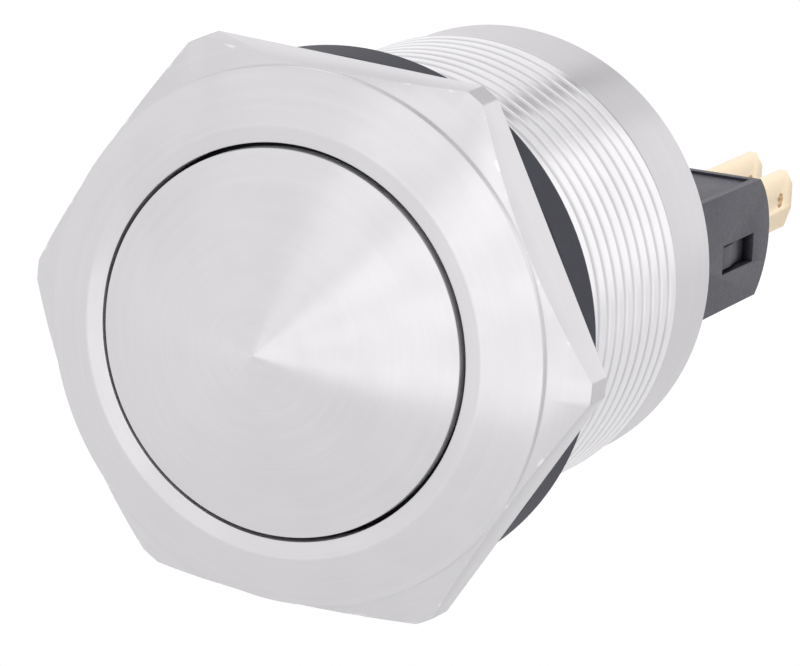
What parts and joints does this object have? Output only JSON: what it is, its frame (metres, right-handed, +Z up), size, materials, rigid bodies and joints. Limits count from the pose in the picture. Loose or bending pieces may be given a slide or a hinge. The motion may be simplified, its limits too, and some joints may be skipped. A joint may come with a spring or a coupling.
{
  "type": "anti vandal push button",
  "caption": "Steel panel push button with a hexagonal head, domed button, threaded barrel, gasket and a snap switch with tab terminals.",
  "frame": {"origin": "on the barrel's axis, in the plane of the panel's outer face, where the gasket bears", "axes": "the button faces -Y, the barrel runs along +Y through the panel, +Z is up with a flat of the hexagon on top"},
  "size_m": [0.0522, 0.0857, 0.046],
  "materials": {
    "steel": "turned and brushed stainless steel",
    "button_steel": "finely turned stainless steel",
    "gasket_rubber": "matt moulded rubber",
    "seal_rubber": "smooth rubber",
    "natural_plastic": "machined natural plastic",
    "spring_steel": "drawn spring steel",
    "screw_steel": "plated steel",
    "carrier_plastic": "moulded, fine spark texture",
    "case_plastic": "moulded, fine spark texture",
    "plunger_plastic": "moulded, smooth",
    "blade_bronze": "rolled bronze strip",
    "contact_silver": "silver alloy",
    "tab_brass": "pale rolled brass"
  },
  "bodies": {
    "root": {"housing": "steel", "panel_gasket": "gasket_rubber", "guide_bush": "natural_plastic", "return_spring": "spring_steel", "switch_carrier": "carrier_plastic", "carrier_seal": "seal_rubber", "retaining_ring": "spring_steel", "switch_case": "case_plastic", "switch_cover": "case_plastic", "cover_screws": "screw_steel", "moving_blade": "blade_bronze", "blade_rivet": "blade_bronze", "common_terminal": "tab_brass", "closed_terminal": "tab_brass", "open_terminal": "tab_brass", "closed_contact": "contact_silver", "open_contact": "contact_silver"},
    "button": {"button_cap": "button_steel", "cap_seal": "seal_rubber", "push_rod": "natural_plastic"},
    "plunger": {"switch_plunger": "plunger_plastic"},
    "contact": {"moving_contact": "contact_silver"}
  },
  "joints": [
    {"name": "button_slide", "type": "slide", "parent": "root", "child": "button", "axis": [0, 1, 0], "range_m": [0, 0.002], "stiffness_N_per_m": 2000, "deforming": ["return_spring"]},
    {"name": "plunger_slide", "type": "slide", "parent": "root", "child": "plunger", "axis": [0, 1, 0], "range_m": [0, 0.002], "deforming": ["moving_blade"]},
    {"name": "contact_slide", "type": "slide", "parent": "root", "child": "contact", "axis": [0, 1, 0], "range_m": [0, 0.0006]}
  ],
  "couplings": [
    {"joint": "plunger_slide", "follows": "button_slide", "ratio": 1},
    {"joint": "contact_slide", "follows": "button_slide", "ratio": 0.3}
  ]
}
